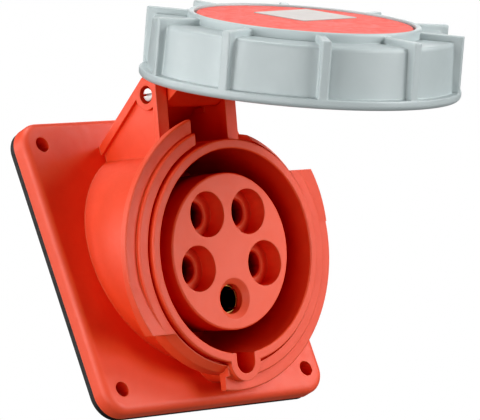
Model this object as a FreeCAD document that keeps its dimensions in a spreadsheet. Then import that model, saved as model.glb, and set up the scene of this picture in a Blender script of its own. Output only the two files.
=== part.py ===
"""Inclined panel socket with a hinged screw-ring lid, in millimetres.

The row frame has its origin on the mounting face, at the centre of the four fixing holes. +Z is up, +X is
to the right seen from the front, and the front faces -Y. The socket's own frame has its origin at the
centre of the front rim, +Z out along the plug's path and +Y up towards the hinge; it is tipped down by
`tilt`. The lid's pieces are drawn closed, in the socket's frame, and are then swung open about the hinge.
"""
import FreeCAD, Part
import os
import re
import Sketcher

Vector = FreeCAD.Vector
ALONG_X = Vector(1, 0, 0)
ALONG_Y = Vector(0, 1, 0)
ALONG_Z = Vector(0, 0, 1)

SIZES = {
    # panel side
    "tilt": 20.0,              # the plug's path below the horizontal
    "gasket_thick": 2.0,
    "gasket_inset": 0.2,       # the gasket's edge inside the flange's edge
    "gasket_fit": 0.3,         # gasket's opening round the tube
    "flange_thick": 5.7,
    "flange_wide": 93.8,
    "flange_tall": 98.7,
    "flange_corner": 8.0,
    "flange_round": 2.4,       # rounded front edge
    "hole_inset_across": 7.15,  # fixing holes inside the flange's edges
    "hole_inset_up": 7.85,
    "hole_radius": 2.5,
    "axis_rise": 0.8,          # plug's path above the hole centre, at the flange's front
    "rim_reach": 29.0,         # rim in front of the flange, along the plug's path
    # tube that takes the plug
    "bore_radius": 32.25,
    "tube_wall": 3.0,
    "edge_break": 0.4,         # small bevel on the moulded edges
    "tube_depth": 45.0,        # rim to the tube's rear end
    "floor_thick": 5.0,
    "floor_fit": 0.3,          # contact carrier inside the floor
    # collar, lugs and key behind the rim
    "groove_wide": 0.9,
    "groove_deep": 3.4,
    "collar_radius": 39.6,
    "collar_drop": 1.6,        # collar's front behind the rim
    "collar_thick": 4.4,
    "gap_radius": 38.3,        # collar where there is no lug, behind its bevel
    "gap_edge": 4.4,           # foot of that bevel behind the rim
    "guide_radius": 38.9,      # wall behind the lugs that keeps the ring's cams centred
    "guide_back": 8.4,
    "slot_half": 12.4,         # half width of the slot for the lid's arm
    "lug_radius": 43.9,
    "lug_drop": 3.2,
    "lug_thick": 2.6,
    "lug_end": 24.1,           # end face of a lug, from the centre
    "lug_ramp": 17.0,
    "key_half": 3.9,
    "key_reach": 38.6,
    "key_wall": 2.4,
    # hinge bracket
    "hinge_up": 51.1,
    "hinge_back": 18.0,
    "cheek_thick": 4.5,
    "cheek_front": 13.2,       # front of the cheeks behind the rim
    "cheek_top": 5.9,          # top of the cheeks above the hinge axis
    "cheek_corner": 3.2,
    "roof_offset": 5.0,        # hinge axis to the roof's outer face
    "roof_foot": 36.4,         # roof's foot on the flange, up from the plug's path
    "roof_thick": 2.4,
    "panel_sunk": 1.3,
    "rib_back": 2.7,
    "rib_front": 2.0,
    "eye_radius": 4.9,
    "knuckle_radius": 4.5,
    "knuckle_gap": 0.6,
    "side_gap": 0.5,           # lid's arm beside the cheeks
    "pad_proud": 0.5,          # small pad on the right cheek's inner side
    "pad_drop": 4.6,           # pad's top below the hinge axis
    "pad_tall": 1.5,
    "pad_back": 4.9,           # pad's front end behind the hinge axis
    "pad_long": 4.2,
    "pin_radius": 2.0,
    "pin_head_radius": 2.1,
    "pin_head_deep": 2.2,
    "pin_recess": 0.8,
    "pin_hole_radius": 2.85,
    "pin_play": 0.05,
    "pin_slot_wide": 0.6,
    "pin_slot_deep": 1.0,
    # contact carrier and contacts
    "carrier_radius": 24.8,
    "carrier_drop": 2.9,
    "carrier_edge": 0.5,
    "peg_radius": 4.0,         # peg that joins the carrier's two halves
    "peg_long": 3.0,
    "peg_fit": 0.1,
    "plate_radius": 31.4,
    "plate_thick": 2.5,
    "contact_circle_radius": 14.95,
    "entry_radius": 7.2,
    "entry_deep": 6.4,
    "throat_radius": 4.15,
    "throat_bevel": 0.55,
    "throat_deep": 14.0,
    "chamber_radius": 4.9,
    "earth_mouth_radius": 6.55,
    "earth_throat_radius": 4.75,
    "earth_bevel_deep": 1.7,
    "earth_throat_deep": 8.0,
    "earth_chamber_radius": 5.7,
    "sleeve_radius": 3.9,
    "sleeve_bore": 3.05,
    "sleeve_start": 12.0,      # front end of a sleeve behind the carrier's face
    "earth_sleeve_radius": 4.6,
    "earth_sleeve_bore": 4.05,
    "earth_sleeve_start": 3.8,
    "sleeve_bore_deep": 24.0,
    "sleeve_slit_wide": 0.8,
    "sleeve_slit_deep": 16.0,
    "sleeve_slit_turn": 45.0,
    "clip_start": 5.0,         # clip ring behind the sleeve's front end
    "clip_wide": 5.0,
    "clip_thick": 0.5,
    "barrel_radius": 4.8,      # wire end of a contact
    "barrel_gap": 0.3,
    "wire_bore": 3.1,
    "wire_bore_deep": 10.0,
    # terminal block
    "block_radius": 22.6,
    "block_flange_thick": 2.5,
    "block_deep": 10.0,
    "terminal_back": 4.6,      # clamp screws in front of the block's rear face
    "clamp_radius": 2.0,
    "clamp_reach": 13.0,       # tip of a clamp screw, from the plug's path
    "clamp_sunk": 1.0,
    "channel_floor": 0.6,      # from the block's flange to the channels
    "carrier_seal_in": 25.6,
    "carrier_seal_out": 27.0,
    "carrier_seal_thick": 1.2,
    "screw_circle_radius": 29.2,
    "screw_radius": 1.5,
    "screw_head_radius": 2.1,
    "screw_head_thick": 1.8,
    "screw_long": 8.0,
    # lid, closed
    "open_angle": 76.8,
    "lid_face": 12.3,          # top of the cap in front of the rim
    "cap_radius": 33.5,
    "cap_thick": 2.0,
    "cap_spigot_radius": 10.0,
    "cap_spigot_long": 3.0,
    "label_wide": 26.5,
    "label_tall": 20.5,
    "label_right": 8.7,        # label's centre from the cap's centre, lid closed
    "label_up": 8.7,
    "label_turn": 7.0,
    "label_thick": 0.25,
    "hub_radius": 31.2,
    "lid_radius": 38.8,
    "lid_top": 6.8,
    "lid_wall": 2.6,
    "skirt_wall": 1.9,
    "skirt_lift": 0.4,         # skirt above the collar's front
    "notch_gap": 0.6,          # skirt's notch round the key wall
    "seal_lift": 0.3,
    "seal_in": 30.6,
    "seal_rib": 1.6,
    "seal_rib_lift": 1.9,
    "arm_in": 37.2,
    "arm_out": 40.2,
    "arm_front": 9.0,
    "arm_back": 13.4,
    # screw ring
    "ring_play": 0.3,
    "slide_play": 0.1,         # ring over its sliding washer
    "ring_base": 8.5,          # bottom of the ring behind the rim
    "ring_flange_radius": 49.7,
    "ring_flange_thick": 3.0,
    "ring_wall_base": 47.3,
    "ring_wall_top": 46.7,
    "ring_bore": 45.0,
    "ring_shoulder": 2.4,      # shoulder below the lid's face
    "ring_shoulder_round": 1.0,
    "collar_wall": 1.9,        # thin raised edge round the cap
    "collar_proud": 0.5,
    "cap_gap": 0.6,
    "rib_count": 10,
    "rib_phase": 17.6,
    "rib_thick": 3.0,
    "rib_radius": 49.5,
    "rib_below_face": 0.4,
    "cam_radius": 40.9,
    "cam_thick": 2.3,
    "cam_arc": 34.0,
    "cam_start": 38.5,         # from the closed lid's right, counter-clockwise
    "washer_thick": 0.5,
}

# contact name, its place round the plug's path in degrees
PHASES = {"contact_l1": 198, "contact_l2": 126, "contact_l3": 54, "contact_n": 342}
EARTH = 270

doc = FreeCAD.newDocument("panel_socket")
sheet = doc.addObject("Spreadsheet::Sheet", "Sizes")
for row, (alias, size) in enumerate(SIZES.items(), start=1):
    sheet.set(f"A{row}", alias)
    sheet.set(f"B{row}", str(size))
    sheet.setAlias(f"B{row}", alias)
doc.recompute()

# fixing holes from the flange's middle
HOLE_ACROSS = "(flange_wide / 2 - hole_inset_across)"
HOLE_UP = "(flange_tall / 2 - hole_inset_up)"

# places that follow from the sizes, in the socket's frame
TUBE = "(bore_radius + tube_wall)"
COLLAR_IN = "(bore_radius + tube_wall + groove_wide)"
FAR = "(2 * bore_radius)"
CARRIER_FACE = "(-carrier_drop)"
TUBE_END = "(-tube_depth)"
PLATE_END = "(-tube_depth - plate_thick)"
BLOCK_FLANGE_END = "(-tube_depth - plate_thick - block_flange_thick)"
BLOCK_END = "(-tube_depth - plate_thick - block_flange_thick - block_deep)"
CLAMP_PLACE = f"({BLOCK_END} + terminal_back)"
CHEEK_OUT = "(slot_half + cheek_thick)"
LUG_BACK = "(-lug_drop - lug_thick)"
COLLAR_BACK = "(-collar_drop - collar_thick)"
LEDGE_TOP = "(lid_face - cap_thick - ring_play)"
SHOULDER = "(lid_face - ring_shoulder)"
SHOULDER_IN = "(lid_top + washer_thick + slide_play)"
RING_COLLAR_IN = "(cap_radius + cap_gap)"
RING_COLLAR_OUT = "(cap_radius + cap_gap + collar_wall)"

# roof line of the hinge bracket, in the plane across the hinge: it stands on the flange at the foot and
# passes behind the hinge axis at roof_offset
FOOT_DEPTH = "(-rim_reach - roof_foot * tan(tilt))"
REACH = f"sqrt((hinge_up - roof_foot)^2 + (-hinge_back - {FOOT_DEPTH})^2)"
LEAN = f"(atan2(-hinge_back - {FOOT_DEPTH}; hinge_up - roof_foot) - asin(roof_offset / {REACH}))"
TOP = "(hinge_up + cheek_top)"

# rim centre and hinge axis in the row frame
RIM_Y = "(-gasket_thick - flange_thick - rim_reach * cos(tilt))"
RIM_Z = "(axis_rise - rim_reach * sin(tilt))"
HINGE_Y = f"({RIM_Y} - hinge_up * sin(tilt) + hinge_back * cos(tilt))"
HINGE_Z = f"({RIM_Z} + hinge_up * cos(tilt) + hinge_back * sin(tilt))"
OPEN_TURN = "(90 + tilt - open_angle)"


def bound(expression):
    """The expression with each size's name pointed at the sheet."""
    names = r"\b(" + "|".join(sorted(SIZES, key=len, reverse=True)) + r")\b"
    return re.sub(names, r"Sizes.\1", str(expression))


def value(expression):
    return float(sheet.evalExpression(bound(expression)))


def bind(item, **expressions):
    for name, expression in expressions.items():
        item.setExpression(name.replace("__", "."), bound(expression))
    return item


def place(item, x="0", y="0", z="0", axis=None, angle="0"):
    """Moves an object to x, y, z and turns it about an axis through its own origin."""
    if axis is not None:
        item.Placement = FreeCAD.Placement(Vector(), FreeCAD.Rotation(axis, 1))
        bind(item, Placement__Rotation__Angle=angle)
    return bind(item, Placement__Base__x=x, Placement__Base__y=y, Placement__Base__z=z)


def origin_plane(body, role):
    return [plane for plane in body.Origin.OriginFeatures if plane.Role == role][0]


def outline(body, name, role, corners):
    """A closed outline of straight lines with every corner bound to the sheet."""
    sketch = body.newObject("Sketcher::SketchObject", name)
    sketch.AttachmentSupport = [(origin_plane(body, role), "")]
    sketch.MapMode = "FlatFace"
    points = [Vector(value(across), value(up), 0) for across, up in corners]
    for index, point in enumerate(points):
        sketch.addGeometry(Part.LineSegment(point, points[(index + 1) % len(points)]), False)
    for index in range(len(points)):
        follower = (index + 1) % len(points)
        sketch.addConstraint(Sketcher.Constraint("Coincident", index, 2, follower, 1))
    for index, (corner, point) in enumerate(zip(corners, points)):
        for kind, expression, size, axis in (
            ("DistanceX", corner[0], point.x, -2),
            ("DistanceY", corner[1], point.y, -1),
        ):
            if expression == "0":
                sketch.addConstraint(Sketcher.Constraint("PointOnObject", index, 1, axis))
            else:
                number = sketch.addConstraint(Sketcher.Constraint(kind, -1, 1, index, 1, size))
                sketch.setExpression(f"Constraints[{number}]", bound(expression))
    return sketch


def new_body(name):
    return doc.addObject("PartDesign::Body", name)


def turned(name, corners, arc="360", start="0"):
    """A body turned about Z from corners given as (radius, height)."""
    body = new_body(name)
    sketch = outline(body, name + "_outline", "XZ_Plane", corners)
    turn = body.newObject("PartDesign::Revolution", name + "_turn")
    turn.Profile = sketch
    turn.ReferenceAxis = (sketch, ["V_Axis"])
    bind(turn, Angle=arc)
    if start != "0":
        place(body, axis=ALONG_Z, angle=start)
    return body


def prism(name, role, corners, length, lift="0"):
    """A body with the outline's section, `length` long from `lift` along the plane's normal."""
    body = new_body(name)
    sketch = outline(body, name + "_outline", role, corners)
    bind(sketch, AttachmentOffset__Base__z=lift)
    pad = body.newObject("PartDesign::Pad", name + "_pad")
    pad.Profile = sketch
    bind(pad, Length=length)
    return body


def round_edges(body, name, radius, chosen):
    """Rounds the edges of the body's last feature whose middle satisfies `chosen`."""
    doc.recompute()
    last = body.Tip
    edges = []
    for number, edge in enumerate(last.Shape.Edges, start=1):
        middle = edge.valueAt((edge.FirstParameter + edge.LastParameter) / 2)
        if chosen(edge, middle):
            edges.append(f"Edge{number}")
    fillet = body.newObject("PartDesign::Fillet", name)
    fillet.Base = (last, edges)
    bind(fillet, Radius=radius)
    return fillet


def rod(name, radius, length, x="0", y="0", z="0", axis=None, angle="0"):
    cylinder = bind(doc.addObject("Part::Cylinder", name), Radius=radius, Height=length)
    return place(cylinder, x, y, z, axis, angle)


def cone(name, low_radius, high_radius, length, x="0", y="0", z="0"):
    shape = bind(doc.addObject("Part::Cone", name), Radius1=low_radius, Radius2=high_radius, Height=length)
    return place(shape, x, y, z)


def block(name, low, high):
    """A box from its low corner to its high corner."""
    sides = [f"{top} - ({bottom})" for bottom, top in zip(low, high)]
    box = bind(doc.addObject("Part::Box", name), Length=sides[0], Width=sides[1], Height=sides[2])
    return place(box, *low)


def fused(name, pieces):
    whole = doc.addObject("Part::MultiFuse", name)
    whole.Shapes = pieces
    return whole


def cut(name, base, tools):
    result = doc.addObject("Part::Cut", name)
    result.Base = base
    result.Tool = tools[0] if len(tools) == 1 else fused(name + "_cutters", tools)
    return result


def common(name, pieces):
    result = doc.addObject("Part::MultiCommon", name)
    result.Shapes = pieces
    return result


def polar(radius, angle):
    """Place at `radius` and `angle` round the plug's path, as a pair of expressions."""
    return f"{radius} * cos({angle})", f"{radius} * sin({angle})"


def in_socket_frame(piece):
    return place(piece, "0", RIM_Y, RIM_Z, ALONG_X, "90 + tilt")


def group(name, pieces):
    """Separate solids under one name, in the socket's frame."""
    holder = doc.addObject("Part::Compound", name)
    holder.Links = pieces
    return in_socket_frame(holder)


def on_open_lid(piece):
    """Swings a piece drawn on the closed lid open about the hinge."""
    back_y = f"{HINGE_Y} - (hinge_up * cos({OPEN_TURN}) + hinge_back * sin({OPEN_TURN}))"
    back_z = f"{HINGE_Z} - (hinge_up * sin({OPEN_TURN}) - hinge_back * cos({OPEN_TURN}))"
    return place(piece, "0", back_y, back_z, ALONG_X, OPEN_TURN)


def along(point, distance, angle):
    return f"{point[0]} + {distance} * cos({angle})", f"{point[1]} + {distance} * sin({angle})"


def rounded_plate(name, wide, tall, corner, thick, edge_round=None):
    """A rectangular plate with round corners, centred on Z, from z = 0 back to z = -thick."""
    half_wide, half_tall = f"({wide}) / 2", f"({tall}) / 2"
    corners = [(f"-({half_wide})", f"-({half_tall})"), (half_wide, f"-({half_tall})"),
               (half_wide, half_tall), (f"-({half_wide})", half_tall)]
    plate = prism(name, "XY_Plane", corners, thick, f"-({thick})")
    round_edges(plate, name + "_corners", corner,
                lambda edge, middle: abs(edge.tangentAt(edge.FirstParameter).z) > 0.9)
    if edge_round:
        round_edges(plate, name + "_edge", edge_round, lambda edge, middle: abs(middle.z) < 0.01)
    return plate


def flange():
    """The square plate, square to the mounting face and so tipped in the socket's frame."""
    plate = rounded_plate(
        "flange", "flange_wide", "flange_tall", "flange_corner", "flange_thick", "flange_round")
    drop_y, drop_z = "-axis_rise * cos(tilt)", "-rim_reach + axis_rise * sin(tilt)"
    return place(plate, "0", drop_y, drop_z, ALONG_X, "-tilt")


def flange_holes():
    """Cutters for the four fixing holes, square to the mounting face."""
    holes = []
    for side, across in (("left", -1), ("right", 1)):
        for level, up in (("low", -1), ("high", 1)):
            height = f"({up} * {HOLE_UP} - axis_rise)"
            start = "(-2 * flange_thick)"
            holes.append(rod(
                f"fixing_hole_{side}_{level}", "hole_radius", "3 * flange_thick", f"{across} * {HOLE_ACROSS}",
                f"{height} * cos(tilt) + {start} * sin(tilt)",
                f"-rim_reach - {height} * sin(tilt) + {start} * cos(tilt)", ALONG_X, "-tilt"))
    return holes


def collar():
    """The flange behind the rim with its two lugs, the key boss and the slot for the lid's arm."""
    full = turned("collar_full", [
        (COLLAR_IN, "-collar_drop"), ("collar_radius - edge_break", "-collar_drop"),
        ("collar_radius", "-collar_drop - edge_break"), ("collar_radius", COLLAR_BACK),
        (TUBE + " - tube_wall / 2", COLLAR_BACK), (TUBE + " - tube_wall / 2", "-groove_deep"),
        (COLLAR_IN, "-groove_deep")])
    outside = [(COLLAR_IN, "-collar_drop"), ("gap_radius", "-gap_edge"), ("gap_radius", "-2 * gap_edge"),
               (FAR, "-2 * gap_edge"), (FAR, "1"), (COLLAR_IN, "1")]
    low_gap = common("low_gap_cutter", [turned("low_gap_outside", outside), block(
        "low_gap_space", (f"-{FAR}", f"-{FAR}", f"-{FAR}"), ("-key_half - key_wall", "-lug_end", FAR))])
    high_gap = common("high_gap_cutter", [turned("high_gap_outside", outside), block(
        "high_gap_space", ("slot_half", "lug_end", f"-{FAR}"), (FAR, FAR, FAR))])
    plain = cut("collar_plain", full, [low_gap, high_gap])
    guide = turned("cam_guide", [
        (TUBE + " - tube_wall / 2", "-gap_edge"), ("gap_radius", "-gap_edge"),
        ("guide_radius", "-guide_back"),
        (TUBE + " - tube_wall / 2", "-guide_back")])

    band = [(COLLAR_IN, "-lug_drop"), ("lug_radius - edge_break", "-lug_drop"),
            ("lug_radius", "-lug_drop - edge_break"), ("lug_radius", LUG_BACK + " + edge_break"),
            ("lug_radius - edge_break", LUG_BACK), (COLLAR_IN, LUG_BACK)]
    left_lug = common("left_lug", [turned("left_lug_band", band), block(
        "left_lug_space", (f"-{FAR}", "-lug_end", f"-{FAR}"), ("-slot_half", FAR, FAR))])
    right_lug = common("right_lug", [turned("right_lug_band", band), fused("right_lug_space", [
        block("right_lug_side", ("slot_half", f"-{FAR}", f"-{FAR}"), (FAR, "lug_end", FAR)),
        block("key_boss_side", ("-key_half - key_wall", f"-{FAR}", f"-{FAR}"),
              ("slot_half", f"-{TUBE}", FAR))])])
    ramps = []
    for name, side, turn in (("left", 1, "0"), ("right", -1, "180")):
        wedge = prism(f"{name}_ramp_wedge", "YZ_Plane", [
            ("-lug_end", "-collar_drop"), ("-lug_end", "-lug_drop - lug_thick / 2"),
            ("-lug_end + lug_ramp", "-lug_drop - lug_thick / 2"), ("-lug_end + lug_ramp", "-lug_drop")],
            FAR, f"-{FAR}")
        if turn != "0":
            place(wedge, axis=ALONG_Z, angle=turn)
        ring = turned(f"{name}_ramp_band", [
            (COLLAR_IN, "0"), ("lug_radius", "0"), ("lug_radius", LUG_BACK), (COLLAR_IN, LUG_BACK)])
        ramps.append(common(f"{name}_ramp", [wedge, ring]))
    whole = fused("collar_with_lugs", [plain, guide, left_lug, right_lug] + ramps)
    slot = block("arm_slot", ("-slot_half", "0", f"-{FAR}"), ("slot_half", FAR, FAR))
    return cut("collar", whole, [slot])


def key_wall():
    """The wall round the key groove, closed at its inner end."""
    half = "(key_half + key_wall)"
    centre = "(key_reach - key_half)"
    depth = "(tube_depth - floor_thick + key_wall)"
    cheek = block("key_wall_sides", (f"-{half}", f"-{centre}", f"-{depth}"),
                  (half, f"-{TUBE} + tube_wall", "0"))
    nose = rod("key_wall_nose", half, depth, "0", f"-{centre}", f"-{depth}")
    return [cheek, nose]


def key_groove():
    centre = "(key_reach - key_half)"
    depth = "(tube_depth - floor_thick)"
    sides = block("key_groove_sides", ("-key_half", f"-{centre}", f"-{depth}"),
                  ("key_half", "-bore_radius / 2", "1"))
    nose = rod("key_groove_nose", "key_half", f"{depth} + 1", "0", f"-{centre}", f"-{depth}")
    return fused("key_groove", [sides, nose])


def hinge_bracket():
    """Two cheeks joined by a sloping roof that stands on the flange."""
    foot = ("roof_foot", FOOT_DEPTH)
    # the roof line climbs from the foot at the angle LEAN from the socket's up direction
    climb = f"(({TOP} - roof_foot) / cos({LEAN}))"
    top_back = along(foot, climb, LEAN)
    deep = along(foot, "-flange_thick", LEAN)
    low = "(bore_radius * 0.85)"
    pieces = []
    cheek_outline = [
        deep, top_back, (TOP, "-cheek_front"), ("bore_radius * 0.9", "-cheek_front"),
        ("bore_radius * 0.9", f"{FOOT_DEPTH}")]
    for name, lift in (("left", f"-{CHEEK_OUT}"), ("right", "slot_half")):
        cheek = prism(f"{name}_cheek_blank", "YZ_Plane", cheek_outline, "cheek_thick", lift)
        peak = value(TOP)
        round_edges(cheek, f"{name}_cheek_round", "cheek_corner",
                    lambda edge, middle: abs(middle.y - peak) < 0.01 and
                    abs(edge.tangentAt(edge.FirstParameter).x) > 0.9)
        sunk_outline = [
            (low, f"{FOOT_DEPTH} + ({low} - roof_foot) * tan({LEAN}) + rib_back / cos({LEAN})"),
            ("hinge_up", f"{FOOT_DEPTH} + (hinge_up - roof_foot) * tan({LEAN}) + rib_back / cos({LEAN})"),
            ("hinge_up", "-cheek_front - rib_front"), (low, "-cheek_front - rib_front")]
        sunk_lift = f"-{CHEEK_OUT}" if name == "left" else f"{CHEEK_OUT} - panel_sunk"
        sunk = prism(f"{name}_sunk_field", "YZ_Plane", sunk_outline, "panel_sunk", sunk_lift)
        eye = rod(f"{name}_eye_keep", "eye_radius", "4 * cheek_thick", f"{sunk_lift} - cheek_thick",
                  "hinge_up",
                  "-hinge_back", ALONG_Y, "90")
        pieces.append(cut(f"{name}_cheek", cheek, [cut(f"{name}_sunk", sunk, [eye])]))
    roof_in = f"(roof_thick / cos({LEAN}))"
    roof_outline = [
        deep, top_back, (top_back[0], f"{top_back[1]} + {roof_in}"), (deep[0], f"{deep[1]} + {roof_in}")]
    roof_blank = prism("roof_blank", "YZ_Plane", roof_outline, "2 * slot_half", "-slot_half")
    room = rod("knuckle_room", "knuckle_radius + knuckle_gap", "2 * slot_half", "-slot_half", "hinge_up",
               "-hinge_back", ALONG_Y, "90")
    above = block("above_knuckle", ("-slot_half", "hinge_up", f"-{FAR}"), ("slot_half", FAR, FAR))
    pieces.append(cut("roof", roof_blank, [room, above]))
    pieces.append(block("catch_pad", ("slot_half - pad_proud", "hinge_up - pad_drop - pad_tall",
                                      "-hinge_back - pad_back - pad_long"),
                        ("slot_half + cheek_thick / 2", "hinge_up - pad_drop", "-hinge_back - pad_back")))
    return pieces


def housing():
    """One moulding: flange, tube, collar with lugs, key wall and hinge bracket."""
    tube = turned("tube", [
        ("carrier_radius + floor_fit", TUBE_END), (TUBE, TUBE_END), (TUBE, "-edge_break"),
        (TUBE + " - edge_break", "0"), ("bore_radius + edge_break", "0"), ("bore_radius", "-edge_break"),
        ("bore_radius", f"{TUBE_END} + floor_thick"),
        ("carrier_radius + floor_fit", f"{TUBE_END} + floor_thick")])
    stand = fused("flange_with_bracket", [flange(), fused("hinge_bracket", hinge_bracket())])
    keyed = fused("housing_with_tube", [stand, fused("tube_with_key", [tube] + key_wall())])
    solid = fused("housing_solid", [keyed, collar()])
    bore = rod("bore", "bore_radius", "tube_depth - floor_thick + 1", "0", "0", f"{TUBE_END} + floor_thick")
    floor_hole = rod("floor_hole", "carrier_radius + floor_fit", "tube_depth", "0", "0", TUBE_END)
    rear_way = rod("rear_way", "plate_radius + floor_fit", "tube_depth", "0", "0", f"2 * {TUBE_END}")
    pin_hole = rod("pin_hole", "pin_radius", f"2 * {CHEEK_OUT}", f"-{CHEEK_OUT}", "hinge_up", "-hinge_back",
                   ALONG_Y, "90")
    head_hole = rod("pin_head_hole", "pin_hole_radius", "pin_recess + pin_head_deep", f"-{CHEEK_OUT}",
                    "hinge_up", "-hinge_back", ALONG_Y, "90")
    screw_holes = [rod(f"floor_screw_hole_{index}", "screw_radius",
                       "screw_long - plate_thick - block_flange_thick + 1",
                       *polar("screw_circle_radius", 45 + 90 * index), TUBE_END) for index in range(4)]
    whole = cut("housing", solid, [bore, floor_hole, rear_way, key_groove(), pin_hole, head_hole]
                + flange_holes() + screw_holes)
    return in_socket_frame(whole)


def flange_gasket():
    """Flat rubber between the flange and the panel, open where the tube passes."""
    plate = rounded_plate("gasket_plate", "flange_wide - 2 * gasket_inset", "flange_tall - 2 * gasket_inset",
                          "flange_corner", "gasket_thick")
    place(plate, "0", "0", "0", ALONG_X, "-90")
    round_way = rod("gasket_round_way", "bore_radius + tube_wall + gasket_fit", "2 * tube_depth", "0", "0",
                    "-2 * tube_depth")
    half = "(key_half + key_wall + gasket_fit)"
    key_way = block("gasket_key_way", (f"-{half}", "-key_reach - key_wall - gasket_fit", "-2 * tube_depth"),
                    (half, "0", "0"))
    opening = in_socket_frame(fused("gasket_opening", [round_way, key_way]))
    holes = []
    for side, across in (("left", -1), ("right", 1)):
        for level, up in (("low", -1), ("high", 1)):
            holes.append(rod(f"gasket_hole_{side}_{level}", "hole_radius", "3 * gasket_thick",
                             f"{across} * {HOLE_ACROSS}", "gasket_thick", f"{up} * {HOLE_UP}", ALONG_X, "90"))
    return cut("flange_gasket", plate, [opening] + holes)


def contact_carrier():
    """The insert that is seen: a thick disc with five stepped passages, on a peg of the carrier's base."""
    joint = f"({CARRIER_FACE} - throat_deep)"
    core = turned("carrier_core", [
        ("0", CARRIER_FACE), ("carrier_radius - carrier_edge", CARRIER_FACE),
        ("carrier_radius", f"{CARRIER_FACE} - carrier_edge"), ("carrier_radius", joint),
        ("peg_radius + peg_fit", joint), ("peg_radius + peg_fit", f"{joint} + peg_long + peg_fit"),
        ("0", f"{joint} + peg_long + peg_fit")])
    cutters = []
    for name, angle in PHASES.items():
        x, y = polar("contact_circle_radius", angle)
        cutters += [
            rod(f"{name}_entry", "entry_radius", "entry_deep + 1", x, y, f"{CARRIER_FACE} - entry_deep"),
            cone(f"{name}_throat_bevel", "throat_radius", "throat_radius + throat_bevel", "throat_bevel",
                 x, y,
                 f"{CARRIER_FACE} - entry_deep - throat_bevel"),
            rod(f"{name}_throat", "throat_radius", "throat_deep + 1", x, y, f"{joint} - 1"),
        ]
    x, y = polar("contact_circle_radius", EARTH)
    cutters += [
        cone("earth_mouth", "earth_throat_radius", "earth_mouth_radius", "earth_bevel_deep", x, y,
             f"{CARRIER_FACE} - earth_bevel_deep"),
        rod("earth_throat", "earth_throat_radius", "earth_throat_deep", x, y,
            f"{CARRIER_FACE} - earth_throat_deep"),
        rod("earth_chamber", "earth_chamber_radius", "throat_deep - earth_throat_deep + 1",
            x, y, f"{joint} - 1"),
    ]
    return in_socket_frame(cut("contact_carrier", core, cutters))


def carrier_base():
    """The insert's rear half: five straight chambers for the contacts, a peg and a plate behind the tube."""
    joint = f"({CARRIER_FACE} - throat_deep)"
    core = turned("base_core", [
        ("0", f"{joint} + peg_long"), ("peg_radius", f"{joint} + peg_long"), ("peg_radius", joint),
        ("carrier_radius", joint), ("carrier_radius", TUBE_END),
        ("carrier_seal_in", TUBE_END), ("carrier_seal_in", f"{TUBE_END} - carrier_seal_thick"),
        ("carrier_seal_out", f"{TUBE_END} - carrier_seal_thick"), ("carrier_seal_out", TUBE_END),
        ("plate_radius", TUBE_END), ("plate_radius", PLATE_END), ("0", PLATE_END)])
    cutters = []
    for name, angle in {**PHASES, "contact_earth": EARTH}.items():
        x, y = polar("contact_circle_radius", angle)
        radius = "earth_chamber_radius" if angle == EARTH else "chamber_radius"
        cutters.append(rod(f"{name}_chamber", radius, f"{joint} - {PLATE_END} + 2", x, y, f"{PLATE_END} - 1"))
    cutters += [rod(f"plate_screw_hole_{index}", "screw_radius", "3 * plate_thick",
                    *polar("screw_circle_radius", 45 + 90 * index), f"{PLATE_END} - plate_thick")
                for index in range(4)]
    return in_socket_frame(cut("carrier_base", core, cutters))


def carrier_seal():
    ring = turned("carrier_seal", [
        ("carrier_seal_in", TUBE_END), ("carrier_seal_out", TUBE_END),
        ("carrier_seal_out", f"{TUBE_END} - carrier_seal_thick"),
        ("carrier_seal_in", f"{TUBE_END} - carrier_seal_thick")])
    return in_socket_frame(ring)


def terminal_block():
    """Insulator behind the carrier that holds the wire ends, each in a channel open behind and outwards."""
    body = turned("block_body", [
        ("0", PLATE_END), ("plate_radius", PLATE_END), ("plate_radius", BLOCK_FLANGE_END),
        ("block_radius", BLOCK_FLANGE_END), ("block_radius", BLOCK_END), ("0", BLOCK_END)])
    cutters = []
    for name, angle in {**PHASES, "contact_earth": EARTH}.items():
        x, y = polar("contact_circle_radius", angle)
        cutters.append(rod(f"{name}_pocket", "barrel_radius + barrel_gap", f"{PLATE_END} - {BLOCK_END} + 2",
                           x, y, f"{BLOCK_END} - 1"))
        half = "(barrel_radius + barrel_gap)"
        way = block(f"{name}_driver_way", ("contact_circle_radius", f"-{half}", f"{BLOCK_END} - 1"),
                    ("2 * block_radius", half, f"{BLOCK_FLANGE_END} - channel_floor"))
        cutters.append(place_turned(way, str(angle)))
    cutters += [rod(f"block_screw_hole_{index}", "screw_radius", "3 * block_flange_thick",
                    *polar("screw_circle_radius", 45 + 90 * index),
                    f"{BLOCK_FLANGE_END} - block_flange_thick")
                for index in range(4)]
    return in_socket_frame(cut("terminal_block", body, cutters))


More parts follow.
